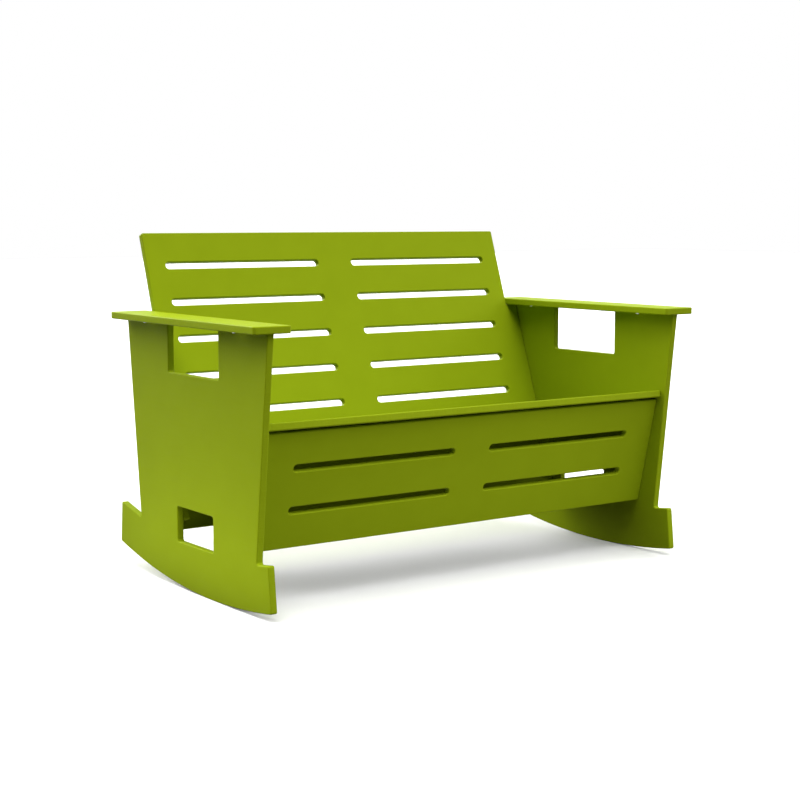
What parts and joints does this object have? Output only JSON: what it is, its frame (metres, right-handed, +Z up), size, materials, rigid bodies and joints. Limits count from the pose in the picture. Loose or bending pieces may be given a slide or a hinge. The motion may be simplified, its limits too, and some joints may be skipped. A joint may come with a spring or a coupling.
{
  "type": "rocking bench",
  "caption": "Wide outdoor rocking bench of lime green board: curved rocker side panels with hand-holds, flat armrests, a leaning slotted back, a sloping seat and a slotted front apron.",
  "frame": {"origin": "on the floor under the middle of the overall width and depth; the rockers touch the floor 101 mm in front of it", "axes": "+Z up, the bench faces -Y, +X to the right as seen from the front, so left and right are the viewer's"},
  "size_m": [1.356, 0.7792, 0.8719],
  "materials": {
    "lime_board": "lime green through-coloured plastic board, satin to matt, with rounded-over edges",
    "stainless_steel": "plain stainless steel screws and plates"
  },
  "bodies": {
    "root": {"side_panel_left": "lime_board", "side_panel_right": "lime_board", "armrest_left": "lime_board", "armrest_right": "lime_board", "back_panel": "lime_board", "seat_board": "lime_board", "front_apron": "lime_board", "apron_cleat_left": "lime_board", "apron_cleat_right": "lime_board", "lower_back_cleat_left": "lime_board", "lower_back_cleat_right": "lime_board", "upper_back_cleat_left": "lime_board", "upper_back_cleat_right": "lime_board", "seat_cleat_left": "lime_board", "seat_cleat_right": "lime_board", "apron_cleat_left_side_screw_1": "stainless_steel", "apron_cleat_left_side_screw_2": "stainless_steel", "apron_cleat_left_board_screw_1": "stainless_steel", "apron_cleat_left_board_screw_2": "stainless_steel", "apron_cleat_right_side_screw_1": "stainless_steel", "apron_cleat_right_side_screw_2": "stainless_steel", "apron_cleat_right_board_screw_1": "stainless_steel", "apron_cleat_right_board_screw_2": "stainless_steel", "lower_back_cleat_left_side_screw_1": "stainless_steel", "lower_back_cleat_left_side_screw_2": "stainless_steel", "lower_back_cleat_left_board_screw_1": "stainless_steel", "lower_back_cleat_left_board_screw_2": "stainless_steel", "lower_back_cleat_right_side_screw_1": "stainless_steel", "lower_back_cleat_right_side_screw_2": "stainless_steel", "lower_back_cleat_right_board_screw_1": "stainless_steel", "lower_back_cleat_right_board_screw_2": "stainless_steel", "upper_back_cleat_left_side_screw_1": "stainless_steel", "upper_back_cleat_left_side_screw_2": "stainless_steel", "upper_back_cleat_left_board_screw_1": "stainless_steel", "upper_back_cleat_left_board_screw_2": "stainless_steel", "upper_back_cleat_right_side_screw_1": "stainless_steel", "upper_back_cleat_right_side_screw_2": "stainless_steel", "upper_back_cleat_right_board_screw_1": "stainless_steel", "upper_back_cleat_right_board_screw_2": "stainless_steel", "seat_cleat_left_side_screw_1": "stainless_steel", "seat_cleat_left_side_screw_2": "stainless_steel", "seat_cleat_left_board_screw_1": "stainless_steel", "seat_cleat_right_side_screw_1": "stainless_steel", "seat_cleat_right_side_screw_2": "stainless_steel", "seat_cleat_right_board_screw_1": "stainless_steel", "stud_plate_front_left": "stainless_steel", "armrest_screw_front_left_outer": "stainless_steel", "armrest_screw_front_left_inner": "stainless_steel", "stud_plate_front_right": "stainless_steel", "armrest_screw_front_right_outer": "stainless_steel", "armrest_screw_front_right_inner": "stainless_steel", "stud_plate_rear_left": "stainless_steel", "armrest_screw_rear_left_outer": "stainless_steel", "armrest_screw_rear_left_inner": "stainless_steel", "stud_plate_rear_right": "stainless_steel", "armrest_screw_rear_right_outer": "stainless_steel", "armrest_screw_rear_right_inner": "stainless_steel", "seat_rear_screw_left": "stainless_steel", "seat_rear_screw_right": "stainless_steel"}
  },
  "joints": []
}
